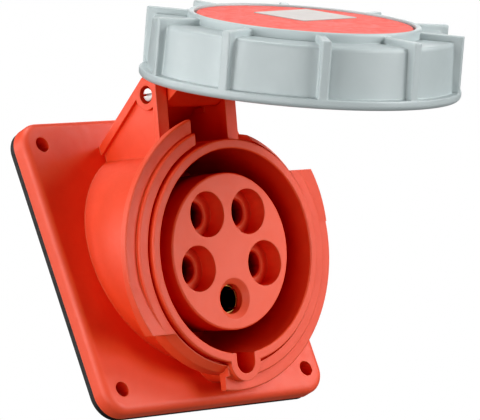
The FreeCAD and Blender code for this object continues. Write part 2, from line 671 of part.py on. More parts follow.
def contact(name, angle, sleeve, bore, start):
    """A turned brass contact: slit sleeve in front, wire end with a bore behind."""
    front = f"({CARRIER_FACE} - {start})"
    back = f"({BLOCK_END} + 1)"
    shoulder = f"({PLATE_END} - 1)"
    body = turned(f"{name}_turned", [
        (bore, f"{front} - sleeve_bore_deep"), (bore, front), (sleeve, front), (sleeve, shoulder),
        ("barrel_radius", shoulder), ("barrel_radius", back), ("wire_bore", back),
        ("wire_bore", f"{back} + wire_bore_deep"), ("0", f"{back} + wire_bore_deep"),
        ("0", f"{front} - sleeve_bore_deep")])
    slit = f"{front} - sleeve_slit_deep"
    across = block(f"{name}_slit_across", ("-barrel_radius * 2", "-sleeve_slit_wide / 2", slit),
                   ("barrel_radius * 2", "sleeve_slit_wide / 2", f"{front} + 1"))
    up = block(f"{name}_slit_up", ("-sleeve_slit_wide / 2", "-barrel_radius * 2", slit),
               ("sleeve_slit_wide / 2", "barrel_radius * 2", f"{front} + 1"))
    slits = place_turned(fused(f"{name}_slits", [across, up]), "sleeve_slit_turn")
    clamp = rod(f"{name}_clamp_hole", "clamp_radius", "2 * barrel_radius",
                "0", "0", CLAMP_PLACE, ALONG_Y, "90")
    local = cut(f"{name}_local", body, [slits, clamp])
    x, y = polar("contact_circle_radius", angle)
    return group(name, [place(local, x, y, "0", ALONG_Z, str(angle))])


def contact_clips():
    """Steel clip rings that squeeze the four phase sleeves."""
    clips = []
    for name, angle in PHASES.items():
        top = f"({CARRIER_FACE} - sleeve_start - clip_start)"
        ring = turned(f"{name}_clip", [
            ("sleeve_radius", f"{top} - clip_wide"), ("sleeve_radius + clip_thick", f"{top} - clip_wide"),
            ("sleeve_radius + clip_thick", top), ("sleeve_radius", top)])
        x, y = polar("contact_circle_radius", angle)
        clips.append(place(ring, x, y))
    return group("contact_clips", clips)


def terminal_screws():
    """One slotted grub screw in each wire end."""
    screws = []
    for name, angle in {**PHASES, "contact_earth": EARTH}.items():
        head = "(contact_circle_radius + barrel_radius - clamp_sunk)"
        shank = rod(f"{name}_clamp_shank", "clamp_radius", f"{head} - clamp_reach", "clamp_reach", "0", "0",
                    ALONG_Y, "90")
        slot = block(f"{name}_clamp_slot",
                     (f"{head} - pin_slot_deep", "-pin_slot_wide / 2", "-clamp_radius * 2"),
                     (f"{head} + 1", "pin_slot_wide / 2", "clamp_radius * 2"))
        screw = cut(f"{name}_clamp_screw", shank, [slot])
        screws.append(place(screw, "0", "0", CLAMP_PLACE, ALONG_Z, str(angle)))
    return group("terminal_screws", screws)


def carrier_screws():
    """Four screws that clamp the block and the carrier to the tube's floor."""
    screws = []
    for index in range(4):
        head = turned(f"carrier_screw_{index}_head", [
            ("0", BLOCK_FLANGE_END), ("screw_head_radius", BLOCK_FLANGE_END),
            ("screw_head_radius", f"{BLOCK_FLANGE_END} - screw_head_thick * 0.6"),
            ("screw_head_radius * 0.7", f"{BLOCK_FLANGE_END} - screw_head_thick"),
            ("0", f"{BLOCK_FLANGE_END} - screw_head_thick")])
        shank = rod(f"carrier_screw_{index}_shank", "screw_radius", "screw_long", "0", "0", BLOCK_FLANGE_END)
        slot = block(
            f"carrier_screw_{index}_slot",
            ("-screw_head_radius * 2", "-pin_slot_wide / 2", f"{BLOCK_FLANGE_END} - 2 * screw_head_thick"),
            ("screw_head_radius * 2", "pin_slot_wide / 2", f"{BLOCK_FLANGE_END} - screw_head_thick * 0.5"))
        local = cut(f"carrier_screw_{index}", fused(f"carrier_screw_{index}_solid", [head, shank]), [slot])
        screws.append(place(local, *polar("screw_circle_radius", 45 + 90 * index)))
    return group("carrier_screws", screws)


def hinge_pin():
    """Pin with a slotted head, sunk in the left cheek."""
    left = f"-{CHEEK_OUT} + pin_recess"
    shank = rod("pin_shank", "pin_radius", f"2 * {CHEEK_OUT} - pin_recess - 1", left, "hinge_up",
                "-hinge_back", ALONG_Y, "90")
    head = rod("pin_head", "pin_head_radius", "pin_head_deep", left, "hinge_up", "-hinge_back", ALONG_Y, "90")
    slot = block(
        "pin_slot",
        (f"-{CHEEK_OUT}", "hinge_up - pin_slot_wide / 2", "-hinge_back - 2 * pin_head_radius"),
        (f"{left} + pin_slot_deep", "hinge_up + pin_slot_wide / 2", "-hinge_back + 2 * pin_head_radius"))
    return in_socket_frame(cut("hinge_pin", fused("pin_solid", [shank, head]), [slot]))


def lid():
    """Round inner lid with a hub for the ring and an arm to the hinge."""
    under = "(lid_top - lid_wall)"
    skirt_end = "(-collar_drop + skirt_lift)"
    rib_end = "(seal_lift + seal_rib_lift)"
    shell = turned("lid_shell", [
        ("0", under), ("seal_in - seal_rib", under), ("seal_in - seal_rib", rib_end), ("seal_in", rib_end),
        ("seal_in", under), ("lid_radius - skirt_wall", under),
        ("lid_radius - skirt_wall", skirt_end), ("lid_radius", skirt_end),
        ("lid_radius", "lid_top"), ("hub_radius", "lid_top"), ("hub_radius", "lid_face - cap_thick"),
        ("0", "lid_face - cap_thick")])
    half = "(slot_half - side_gap)"
    arm = prism("lid_arm", "YZ_Plane", [
        ("arm_in", under), ("arm_out", under), ("arm_out", "-arm_front"), ("hinge_up", "-arm_front"),
        ("hinge_up + knuckle_radius * 0.9", "-hinge_back + knuckle_radius * 0.5"),
        ("hinge_up", "-hinge_back"),
        ("hinge_up - knuckle_radius * 0.7", "-hinge_back - knuckle_radius * 0.7"),
        ("arm_out", "-arm_back"), ("arm_in", "-arm_back")], f"2 * {half}", f"-{half}")
    knuckle = rod("lid_knuckle", "knuckle_radius", f"2 * {half}", f"-{half}", "hinge_up", "-hinge_back",
                  ALONG_Y, "90")
    pin_hole = rod("lid_pin_hole", "pin_radius + pin_play", f"2 * {half} + 2", f"-{half} - 1", "hinge_up",
                   "-hinge_back", ALONG_Y, "90")
    spigot_hole = rod("cap_spigot_hole", "cap_spigot_radius", "cap_spigot_long + 1", "0", "0",
                      "lid_face - cap_thick - cap_spigot_long")
    notch_half = "(key_half + key_wall + notch_gap)"
    key_notch = block("lid_key_notch", (f"-{notch_half}", "-lid_radius - 1", "-3 * notch_gap"),
                      (notch_half, "-seal_in", "notch_gap"))
    solid = fused("lid_solid", [shell, arm, knuckle])
    return on_open_lid(cut("lid", solid, [pin_hole, spigot_hole, key_notch]))


def lid_seal():
    ring = turned("lid_seal", [
        ("seal_in", "seal_lift"), ("lid_radius - skirt_wall", "seal_lift"),
        ("lid_radius - skirt_wall", "lid_top - lid_wall"), ("seal_in", "lid_top - lid_wall")])
    return on_open_lid(ring)


def lid_cap():
    """Flat red disc on the hub; it keeps the ring on the lid."""
    low = "(lid_face - cap_thick)"
    disc = turned("lid_cap", [
        ("0", "lid_face"), ("cap_radius - carrier_edge", "lid_face"),
        ("cap_radius", "lid_face - carrier_edge"),
        ("cap_radius", low), ("cap_spigot_radius", low), ("cap_spigot_radius", f"{low} - cap_spigot_long"),
        ("0", f"{low} - cap_spigot_long")])
    return on_open_lid(disc)


def label_plate():
    wide, tall = "(label_wide / 2)", "(label_tall / 2)"
    corners = [("label_right + " + f"{x} * {wide} * cos(label_turn) - {y} * {tall} * sin(label_turn)",
                "label_up + " + f"{x} * {wide} * sin(label_turn) + {y} * {tall} * cos(label_turn)")
               for x, y in ((-1, -1), (1, -1), (1, 1), (-1, 1))]
    return on_open_lid(prism("label_plate", "XY_Plane", corners, "label_thick", "lid_face"))


def locking_ring():
    """Grip ring with ten ribs outside and two cams inside that hook behind the lugs."""
    base = "(-ring_base)"
    flange_top = "(-ring_base + ring_flange_thick)"
    body = turned("ring_body", [
        ("ring_bore", base), ("ring_flange_radius - ring_flange_thick / 3", base),
        ("ring_flange_radius", f"{base} + ring_flange_thick / 3"),
        ("ring_flange_radius", f"{flange_top} - edge_break"), ("ring_flange_radius - edge_break", flange_top),
        ("ring_wall_base", flange_top), ("ring_wall_top", f"{SHOULDER} - ring_shoulder_round"),
        ("ring_wall_top - ring_shoulder_round", SHOULDER),
        (RING_COLLAR_OUT, SHOULDER), (RING_COLLAR_OUT, "lid_face + collar_proud - edge_break"),
        (RING_COLLAR_OUT + " - edge_break", "lid_face + collar_proud"),
        (RING_COLLAR_IN + " + edge_break", "lid_face + collar_proud"),
        (RING_COLLAR_IN, "lid_face + collar_proud - edge_break"), (RING_COLLAR_IN, LEDGE_TOP),
        ("hub_radius + ring_play", LEDGE_TOP), ("hub_radius + ring_play", SHOULDER_IN),
        ("ring_bore", SHOULDER_IN)])
    root, foot = RING_COLLAR_OUT + " - collar_wall / 2", f"({flange_top} - ring_flange_thick / 2)"
    ribs = []
    for index in range(int(SIZES["rib_count"])):
        rib = prism(f"ring_rib_{index}", "XY_Plane", [
            (root, "-rib_thick / 2"), ("rib_radius - edge_break", "-rib_thick / 2"),
            ("rib_radius", "-rib_thick / 2 + edge_break"), ("rib_radius", "rib_thick / 2 - edge_break"),
            ("rib_radius - edge_break", "rib_thick / 2"), (root, "rib_thick / 2")],
            f"lid_face - rib_below_face - {foot}", foot)
        ribs.append(place_turned(rib, f"rib_phase + {index} * 360 / rib_count"))
    inner = rod("ring_inside", "ring_bore", f"{SHOULDER_IN} + ring_base + 1", "0", "0", f"{base} - 1")
    gripped = cut("ring_gripped", fused("ring_with_ribs", [body] + ribs), [inner])
    cam_outline = [
        ("cam_radius", base), ("ring_bore + 1", base), ("ring_bore + 1", f"{base} + cam_thick"),
        ("cam_radius", f"{base} + cam_thick")]
    cams = [turned(f"ring_cam_{index}", cam_outline, "cam_arc", f"cam_start + 180 * {index}")
            for index in range(2)]
    return on_open_lid(fused("locking_ring", [gripped] + cams))


def place_turned(item, angle):
    holder = doc.addObject("Part::Compound", item.Name + "_turned")
    holder.Links = [item]
    return place(holder, axis=ALONG_Z, angle=angle)


def slide_washer():
    ring = turned("slide_washer", [
        ("hub_radius", "lid_top"), ("cap_radius", "lid_top"), ("cap_radius", "lid_top + washer_thick"),
        ("hub_radius", "lid_top + washer_thick")])
    return on_open_lid(ring)


nodes = [housing(), flange_gasket(), contact_carrier(), carrier_base(), carrier_seal(), terminal_block()]
nodes += [contact(name, angle, "sleeve_radius", "sleeve_bore", "sleeve_start")
          for name, angle in PHASES.items()]
nodes += [contact("contact_earth", EARTH, "earth_sleeve_radius", "earth_sleeve_bore", "earth_sleeve_start")]
nodes += [contact_clips(), terminal_screws(), carrier_screws(), hinge_pin()]
nodes += [lid(), lid_seal(), lid_cap(), label_plate(), locking_ring(), slide_washer()]
doc.recompute()

for item in doc.Objects:
    if "Invalid" in item.State or "Error" in item.State:
        raise RuntimeError(f"{item.Name} is {item.State}")
for node in nodes:
    node.Label = node.Name
    if node.Shape.isNull() or not node.Shape.isValid():
        raise RuntimeError(f"{node.Name} has no valid shape")

os.makedirs("parts", exist_ok=True)
for node in nodes:
    node.Shape.exportStep(f"parts/{node.Label}.step")
    print(f"{node.Label}: {len(node.Shape.Solids)} solids, {node.Shape.Volume / 1000:.2f} cm3")
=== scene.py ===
import bmesh
import bpy
import math
import numpy as np
from mathutils import Matrix, Vector


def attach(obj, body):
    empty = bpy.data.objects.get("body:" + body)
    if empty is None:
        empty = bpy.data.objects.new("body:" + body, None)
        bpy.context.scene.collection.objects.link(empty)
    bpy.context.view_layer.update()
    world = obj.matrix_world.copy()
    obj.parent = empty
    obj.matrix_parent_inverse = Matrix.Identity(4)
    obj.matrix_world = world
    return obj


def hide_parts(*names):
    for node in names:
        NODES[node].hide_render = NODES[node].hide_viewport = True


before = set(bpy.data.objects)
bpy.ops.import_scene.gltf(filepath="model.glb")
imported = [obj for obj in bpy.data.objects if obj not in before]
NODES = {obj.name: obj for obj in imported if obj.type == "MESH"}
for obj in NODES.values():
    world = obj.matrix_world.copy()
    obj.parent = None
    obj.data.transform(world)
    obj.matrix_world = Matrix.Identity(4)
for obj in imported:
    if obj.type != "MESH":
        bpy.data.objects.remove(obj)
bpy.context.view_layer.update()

# Shapes are worked out in millimetres and put into the meshes in metres. +Z is up, the flange stands on the
# panel at y = 0 and the socket faces -Y. The socket's own frame has its origin at the centre of the front rim
# and +Z out of it. The lid's frame is the same frame swung open about the hinge.
MM = 0.001
SOCKET_TILT = math.radians(110)
LID_TILT = math.radians(33.2)
SOCKET_PLACE = Matrix.Translation((0, -0.034951, -0.009119)) @ Matrix.Rotation(SOCKET_TILT, 4, "X")
LID_PLACE = Matrix.Translation((0, -0.088129, 0.032137)) @ Matrix.Rotation(LID_TILT, 4, "X")

# Camera, light, world and floor: places and sizes in metres, turns in degrees.
CAMERA_PLACE = (-0.85968, -0.89473, -0.31949)
CAMERA_TURN = (105.651, 18.096, -40.255)
OBJECT_MIDDLE = Vector((0, -0.05, 0.01))
LIGHT_DISTANCE = 1.5
# each soft light: degrees from the front towards +X, degrees up, watts, size
LIGHTS = {
    "left_box": (-95, 10, 9.8, 0.7),
    "left_high_box": (-75, 38, 4.6, 0.7),
    "low_box": (25, -15, 12.0, 0.8),
    "right_box": (42, 22, 11.5, 0.8),
    "top_box": (0, 85, 11.0, 0.7),
    "back_left_box": (-135, 30, 5.5, 0.7),
    "back_right_box": (125, 30, 3.0, 0.7),
    "low_left_box": (-65, -18, 5.6, 0.8),
}
# strength of the white world: as the camera sees it, and what falls on the object from above and below
WORLD_SEEN, WORLD_ABOVE, WORLD_BELOW = 1.0, 0.05, 0.24
# the height of a direction at which the world has wholly changed from below to above
WORLD_CHANGE = 0.25
FLOOR_HEIGHT, FLOOR_REACH, FLOOR_GLOW = -1.6, 9, 0.7
# the picture's tone curve: brightness in and out, with the darks drawn down
GAMMA = 0.8
TONE_CURVE = ((0.012, 0.001), (0.035, 0.014), (0.08, 0.07), (0.2, 0.205), (0.5, 0.51))


def add_node(tree, kind, values=(), **settings):
    """A node of `kind`; `values` sets sockets by name or number, or links another node's output to them."""
    node = tree.nodes.new("ShaderNode" + kind)
    for name, setting in settings.items():
        setattr(node, name, setting)
    for socket, value in dict(values).items():
        if isinstance(value, bpy.types.NodeSocket):
            tree.links.new(value, node.inputs[socket])
        else:
            node.inputs[socket].default_value = value
    return node


def make_camera():
    """The photograph's place: low, to the left and in front, with a long lens."""
    data = bpy.data.cameras.new("photo_camera")
    data.sensor_width, data.sensor_fit, data.lens = 36, "HORIZONTAL", 300
    data.clip_start, data.clip_end = 0.05, 30
    camera = bpy.data.objects.new("photo_camera", data)
    camera.location = CAMERA_PLACE
    camera.rotation_euler = [math.radians(angle) for angle in CAMERA_TURN]
    bpy.context.scene.collection.objects.link(camera)
    bpy.context.scene.camera = camera


def make_light(name, turn, rise, power, size):
    """A square soft light that looks at the object: `turn` degrees from the front towards +X, `rise` up."""
    data = bpy.data.lights.new(name, "AREA")
    data.energy, data.size = power, size
    lamp = bpy.data.objects.new(name, data)
    turn, rise = math.radians(turn), math.radians(rise)
    side = Vector((math.sin(turn) * math.cos(rise), -math.cos(turn) * math.cos(rise), math.sin(rise)))
    lamp.location = OBJECT_MIDDLE + LIGHT_DISTANCE * side
    lamp.rotation_euler = side.to_track_quat("Z", "Y").to_euler()
    bpy.context.scene.collection.objects.link(lamp)


def make_world():
    """White all round. The camera sees one strength, and the object gets another from each half."""
    world = bpy.data.worlds.new("white_room")
    world.use_nodes = True
    tree = world.node_tree
    tree.nodes.clear()
    white = (1, 1, 1, 1)
    place = add_node(tree, "TexCoord")
    height = add_node(tree, "SeparateXYZ", {0: place.outputs["Generated"]})
    strength = add_node(tree, "MapRange", {"Value": height.outputs["Z"], "From Min": -WORLD_CHANGE,
                                           "From Max": WORLD_CHANGE, "To Min": WORLD_BELOW,
                                           "To Max": WORLD_ABOVE})
    falling = add_node(tree, "Background", {"Color": white, "Strength": strength.outputs[0]})
    seen = add_node(tree, "Background", {"Color": white, "Strength": WORLD_SEEN})
    ray = add_node(tree, "LightPath")
    mix = add_node(tree, "MixShader", {0: ray.outputs["Is Camera Ray"], 1: falling.outputs[0],
                                       2: seen.outputs[0]})
    add_node(tree, "OutputWorld", {"Surface": mix.outputs[0]})
    bpy.context.scene.world = world


def make_floor(material):
    """A level pale floor far below the socket. It glows a little by itself and lights nothing else."""
    far = FLOOR_REACH
    corners = [(x, y, FLOOR_HEIGHT) for x, y in ((-far, -far), (far, -far), (far, far), (-far, far))]
    mesh = bpy.data.meshes.new("floor")
    mesh.from_pydata(corners, [], [(0, 1, 2, 3)])
    mesh.materials.append(material)
    floor = bpy.data.objects.new("floor", mesh)
    bpy.context.scene.collection.objects.link(floor)
    floor.visible_diffuse = floor.visible_glossy = floor.visible_shadow = False
    shader = material.node_tree.nodes["Principled BSDF"]
    shader.inputs["Emission Color"].default_value = (1, 1, 1, 1)
    shader.inputs["Emission Strength"].default_value = FLOOR_GLOW
    material.cycles.emission_sampling = "NONE"


def set_tones():
    """The picture's gamma and its tone curve, on the curve for all three colours."""
    view = bpy.context.scene.view_settings
    view.view_transform = "Standard"
    view.gamma = GAMMA
    view.use_curve_mapping = True
    for spot in TONE_CURVE:
        view.curve_mapping.curves[3].points.new(*spot)
    view.curve_mapping.update()


# Effects that the materials share

def new_group(name, inputs, outputs):
    """A shader node group with named sockets; gives its tree, its input node and its output node."""
    tree = bpy.data.node_groups.new(name, "ShaderNodeTree")
    for label, kind, value in inputs:
        socket = tree.interface.new_socket(label, in_out="INPUT", socket_type="NodeSocket" + kind)
        if value is not None:
            socket.default_value = value
    for label, kind in outputs:
        tree.interface.new_socket(label, in_out="OUTPUT", socket_type="NodeSocket" + kind)
    return tree, tree.nodes.new("NodeGroupInput"), tree.nodes.new("NodeGroupOutput")


def moulded_grain_group():
    """Spark-eroded mould grain: fine and coarse noise for the height, a broad cloud for the colour, and faint
    flow marks for the roughness."""
    tree, given, out = new_group(
        "moulded_grain",
        [("Vector", "Vector", None), ("Grain", "Float", 4500.0), ("Cloud", "Float", 55.0)],
        [("Height", "Float"), ("Tone", "Float"), ("Haze", "Float")])
    fine = add_node(tree, "TexNoise", {"Vector": given.outputs["Vector"], "Scale": given.outputs["Grain"],
                                       "Detail": 3.0, "Roughness": 0.6})
    coarse_scale = add_node(tree, "Math", {0: given.outputs["Grain"], 1: 0.27}, operation="MULTIPLY")
    coarse = add_node(tree, "TexNoise", {"Vector": given.outputs["Vector"], "Scale": coarse_scale.outputs[0],
                                         "Detail": 2.0})
    height = add_node(tree, "Math", {0: coarse.outputs["Fac"], 1: 0.6, 2: fine.outputs["Fac"]},
                      operation="MULTIPLY_ADD")
    cloud = add_node(tree, "TexNoise", {"Vector": given.outputs["Vector"], "Scale": given.outputs["Cloud"],
                                        "Detail": 4.0, "Roughness": 0.55, "Distortion": 0.6})
    tone = add_node(tree, "MapRange", {"Value": cloud.outputs["Fac"], "From Min": 0.3, "From Max": 0.7})
    flow_scale = add_node(tree, "Math", {0: given.outputs["Cloud"], 1: 2.6}, operation="MULTIPLY")
    flow = add_node(tree, "TexNoise", {"Vector": given.outputs["Vector"], "Scale": flow_scale.outputs[0],
                                       "Detail": 5.0, "Distortion": 2.2})
    haze = add_node(tree, "MapRange", {"Value": flow.outputs["Fac"], "From Min": 0.35, "From Max": 0.68})
    tree.links.new(height.outputs[0], out.inputs["Height"])
    tree.links.new(tone.outputs[0], out.inputs["Tone"])
    tree.links.new(haze.outputs[0], out.inputs["Haze"])
    return tree


def turned_lines_group():
    """Fine tool lines round the plug's path: noise that changes quickly along it and slowly across it, with a
    second, wider set for the roughness. The Vector comes in the row frame."""
    tree, given, out = new_group(
        "turned_lines",
        [("Vector", "Vector", None), ("Lines", "Float", 5200.0)],
        [("Height", "Float"), ("Haze", "Float")])
    lined_up = add_node(tree, "Mapping", {"Vector": given.outputs["Vector"],
                                          "Rotation": (-SOCKET_TILT, 0, 0)}, vector_type="POINT")
    for label, stretch, detail in (("Height", (0.02, 0.02, 1.0), 2.0), ("Haze", (0.05, 0.05, 0.3), 4.0)):
        squeezed = add_node(tree, "VectorMath", {0: lined_up.outputs[0], 1: stretch}, operation="MULTIPLY")
        lines = add_node(tree, "TexNoise", {"Vector": squeezed.outputs[0], "Scale": given.outputs["Lines"],
                                            "Detail": detail})
        tree.links.new(lines.outputs["Fac"], out.inputs[label])
    return tree


def rounding_and_highlight_group():
    """Where a surface turns a corner: one less the agreement of the plain normal and the rounded one, which
    masks a painted highlight along the corners.
    """
    tree, given, out = new_group(
        "rounding_and_painted_highlight",
        [("Round", "Float", 0.0006)],
        [("Normal", "Vector"), ("Edge", "Float")])
    rounded = add_node(tree, "Bevel", {"Radius": given.outputs["Round"]}, samples=6)
    plain = add_node(tree, "NewGeometry")
    agree = add_node(tree, "VectorMath", {0: rounded.outputs["Normal"], 1: plain.outputs["Normal"]},
                     operation="DOT_PRODUCT")
    edge = add_node(tree, "MapRange", {"Value": agree.outputs["Value"], "From Min": 0.995, "From Max": 0.86})
    tree.links.new(rounded.outputs["Normal"], out.inputs["Normal"])
    tree.links.new(edge.outputs[0], out.inputs["Edge"])
    return tree


GRAIN, LINES, ROUNDING_AND_HIGHLIGHT = moulded_grain_group(), turned_lines_group(), rounding_and_highlight_group()


def surface_finish(name, base, deep, edge, rough, relief, marks_group, marks_values, corner, specular=0.9,
                   metallic=0.0):
    """A finish of its own: the colour drifts from base to deep with the marks' haze, corners take the edge
    colour as a painted highlight, and the marks' height drives the bump over rounded corners."""
    material = bpy.data.materials.new(name)
    material.use_nodes = True
    material.diffuse_color = (*base, 1)
    tree = material.node_tree
    shader = tree.nodes["Principled BSDF"]
    place = add_node(tree, "TexCoord")
    marks = add_node(tree, "Group", {"Vector": place.outputs["Object"], **marks_values},
                     node_tree=marks_group)
    corners = add_node(tree, "Group", {"Round": corner}, node_tree=ROUNDING_AND_HIGHLIGHT)
    drift = marks.outputs["Tone" if "Tone" in marks.outputs else "Haze"]
    cloud = add_node(tree, "Mix", {0: drift, 6: (*base, 1), 7: (*deep, 1)}, data_type="RGBA")
    # painted highlight: along the corners the lighter edge colour is mixed over the base colour
    painted_highlight = add_node(tree, "Mix", {0: corners.outputs["Edge"], 6: cloud.outputs[2], 7: (*edge, 1)},
                   data_type="RGBA")
    haze = add_node(tree, "MapRange", {"Value": marks.outputs["Haze"], "To Min": rough[0],
                                       "To Max": rough[1]})
    bump = add_node(tree, "Bump", {"Height": marks.outputs["Height"], "Distance": relief, "Strength": 1.0,
                                   "Normal": corners.outputs["Normal"]})
    tree.links.new(painted_highlight.outputs[2], shader.inputs["Base Color"])
    tree.links.new(haze.outputs[0], shader.inputs["Roughness"])
    tree.links.new(bump.outputs["Normal"], shader.inputs["Normal"])
    shader.inputs["Metallic"].default_value = metallic
    shader.inputs["Specular IOR Level"].default_value = specular
    return material


def moulding(name, base, deep, edge, rough=(0.36, 0.48), grain=4500.0, relief=0.00002, corner=0.0005,
             specular=0.9):
    """Moulded plastic or rubber."""
    return surface_finish(name, base, deep, edge, rough, relief, GRAIN, {"Grain": grain}, corner, specular)


def turning(name, base, deep, edge, rough, relief=0.000004):
    """Turned metal."""
    return surface_finish(name, base, deep, edge, rough, relief, LINES, {"Lines": 5200.0}, corner=0.0002,
                          metallic=1.0)


def paint_passage_shade(material, place, start, end, share):
    """Painted shade in the deep ends of passages: from `start` to `end` along the part's own axis, in metres,
    the base colour falls to `share` of itself."""
    tree = material.node_tree
    shader = tree.nodes["Principled BSDF"]
    colour = shader.inputs["Base Color"].links[0].from_socket
    turn = place.inverted()
    where = add_node(tree, "TexCoord")
    along = add_node(tree, "VectorMath", {0: where.outputs["Object"], 1: tuple(turn[2][:3])},
                     operation="DOT_PRODUCT")
    depth = add_node(tree, "MapRange", {"Value": along.outputs["Value"], "From Min": end - turn[2][3],
                                        "From Max": start - turn[2][3], "To Min": share, "To Max": 1.0})
    # painted shade: the base colour is scaled down towards the deep end
    passage_shade = add_node(tree, "VectorMath", {0: colour, "Scale": depth.outputs[0]}, operation="SCALE")
    tree.links.new(passage_shade.outputs[0], shader.inputs["Base Color"])


# Shapes

def round_corners(corners, radius, closed=True):
    """Corners as rows of two lengths. Each corner gives way to the parabola that leaves one side `radius`
    before it and meets the next side `radius` after it. One more point stands on each side just outside
    the curve, which keeps the flats flat. An open outline keeps its two ends."""
    steps, most_of_a_side, outside = 4, 0.42, 1.15
    corner = np.array(corners, float)
    before, after = np.roll(corner, 1, 0) - corner, np.roll(corner, -1, 0) - corner
    reach = np.broadcast_to(np.array(radius, float).reshape(-1, 1), (len(corner), 1))
    sides = [side * np.minimum(reach / np.linalg.norm(side, axis=1, keepdims=True), most_of_a_side)
             for side in (before, after)]
    t = np.linspace(0, 1, steps + 1)[None, :, None]
    start, middle, end = (corner + sides[0])[:, None], corner[:, None], (corner + sides[1])[:, None]
    curve = (1 - t) ** 2 * start + 2 * t * (1 - t) * middle + t ** 2 * end
    rows = np.concatenate([middle + outside * (start - middle), curve, middle + outside * (end - middle)],
                          axis=1)
    if closed:
        return rows.reshape(-1, 2)
    return np.concatenate([corner[:1], rows[1:-1].reshape(-1, 2), corner[-1:]])


def skin(name, sheets, place):
    """One mesh from several sheets. A sheet is an array of points, columns by rows by xyz in millimetres, and
    says whether its columns and its rows close on themselves. Doubles at seams and poles are merged, and
    edges sharper than `crease` degrees stay crisp."""
    doubles, slivers, crease = 2e-7, 1e-7, 40
    points, faces, base = [], [], 0
    for grid, wrap_columns, wrap_rows in sheets:
        columns, rows = grid.shape[:2]
        number = base + np.arange(columns * rows).reshape(columns, rows)
        if wrap_columns:
            number = np.concatenate([number, number[:1]])
        if wrap_rows:
            number = np.concatenate([number, number[:, :1]], axis=1)
        quads = np.stack([number[:-1, :-1], number[1:, :-1], number[1:, 1:], number[:-1, 1:]], axis=-1)
        faces.append(quads.reshape(-1, 4))
        points.append(grid.reshape(-1, 3))
        base += columns * rows
    turn = np.array(place)
    cloud = np.concatenate(points) * MM @ turn[:3, :3].T + turn[:3, 3]
    mesh = bpy.data.meshes.new(name)
    mesh.from_pydata(cloud.tolist(), [], np.concatenate(faces).tolist())
    work = bmesh.new()
    work.from_mesh(mesh)
    bmesh.ops.remove_doubles(work, verts=work.verts, dist=doubles)
    bmesh.ops.dissolve_degenerate(work, edges=work.edges, dist=slivers)
    bmesh.ops.recalc_face_normals(work, faces=work.faces)
    work.to_mesh(mesh)
    work.free()
    for face in mesh.polygons:
        face.use_smooth = True
    mesh.set_sharp_from_angle(angle=math.radians(crease))
    piece = bpy.data.objects.new(name, mesh)
    bpy.context.scene.collection.objects.link(piece)
    return piece


def turned_sheet(outline, facets):
    """An outline of radius and height carried once round the axis: x and y are the radius times the cosine
    and the sine of the angle."""
    angle = np.linspace(0, 2 * math.pi, facets, endpoint=False)[:, None]
    radius, height = outline[None, :, 0], outline[None, :, 1]
    return np.stack([radius * np.cos(angle), radius * np.sin(angle), height + 0 * angle], axis=-1)


def arc_sheet(outline, start, sweep, facets, centre=(0, 0)):
    """A closed outline carried round the axis from `start` over `sweep` degrees. Both ends are closed by
    columns that shrink the outline to its middle."""
    middle = outline.mean(axis=0)
    angle = np.radians(start + sweep * np.concatenate([[0, 0], np.linspace(0, 1, facets), [1, 1]]))[:, None]
    shrink = np.ones(facets + 4)
    shrink[[0, 1, -2, -1]] = 0, 0.9, 0.9, 0
    section = middle + shrink[:, None, None] * (outline - middle)
    radius, height = section[..., 0], section[..., 1]
    return np.stack([centre[0] + radius * np.cos(angle), centre[1] + radius * np.sin(angle), height], axis=-1)


def slotted_head(radius, rise, slot_wide, slot_deep):
    """The top of a screw as a grid of chords: each row is one chord of the circle, scaled from -1 to 1. The
    height is a dome, rise times one less the square of the distance from the middle, or the slot's floor
    between the slot's two sides, where a chord is doubled. Gives the grid and its border, once round."""
    chords, crowding = 24, 1.15
    half = slot_wide / 2
    side = half + (radius - half) * np.sin(np.linspace(0, 1, chords // 2) ** crowding * math.pi / 2)
    up = np.concatenate([-side[::-1], [-half, half], side])
    cut = np.zeros(len(up), bool)
    cut[chords // 2:chords // 2 + 2] = True
    along = np.linspace(-1, 1, chords)[:, None]
    reach = np.sqrt(np.maximum(radius ** 2 - up ** 2, 0))[None]
    x, y = along * reach, up[None] + 0 * along
    dome = rise * (1 - (x ** 2 + y ** 2) / radius ** 2)
    z = np.where(cut[None], -slot_deep, dome)
    grid = np.stack([x, y, z], axis=-1)
    border = np.concatenate([grid[0, ::-1], grid[1:, 0], grid[-1, 1:], grid[-2:0:-1, -1]])
    return grid, border


def threaded_body(border, steps, pitch=0.0, depth=0.0, thread=(0, 0)):
    """The side and tip below a head. The head's border goes down through the given radii and heights, round
    by round, never above the border, and closes at the tip. Between the two heights of `thread` the radius
    takes the screw line: depth times a tooth of the height over the pitch less the turn."""
    turn = np.arctan2(border[:, 1], border[:, 0])
    radius, height = np.array(steps, float).T
    tooth_place = (height[None] / pitch if pitch else 0 * height[None]) - turn[:, None] / (2 * math.pi)
    tooth = np.abs(2 * (tooth_place - np.floor(tooth_place)) - 1) - 1
    inside = (height[None] < thread[0]) & (height[None] > thread[1])
    spread = np.where(inside, radius[None] + depth * tooth, radius[None] + 0 * tooth)
    grid = np.stack([spread * np.cos(turn)[:, None], spread * np.sin(turn)[:, None],
                     np.minimum(height[None], border[:, 2:])], axis=-1)
    return np.concatenate([border[:, None], grid], axis=1)


def screw_sheets(place, steps, radius, rise, slot_wide, slot_deep, **screw_line):
    """Head and body of one screw, moved to its place."""
    top, border = slotted_head(radius, rise, slot_wide, slot_deep)
    turn = np.array(place)
    sheets = []
    for grid, wrap in ((top, False), (threaded_body(border, steps, **screw_line), True)):
        sheets.append((grid @ turn[:3, :3].T + turn[:3, 3], wrap, False))
    return sheets


def screw_circle(turns, reach, facing, steps, **screw):
    """Screws alike on a circle: each stands `reach` out and along the axis, with its head turned by `facing`
    about the Y axis."""
    sheets = []
    for turn in turns:
        place = Matrix.Rotation(math.radians(turn), 4, "Z") @ Matrix.Translation((reach[0], 0, reach[1])) \
            @ Matrix.Rotation(facing, 4, "Y")
        sheets += screw_sheets(place, steps, **screw)
    return sheets


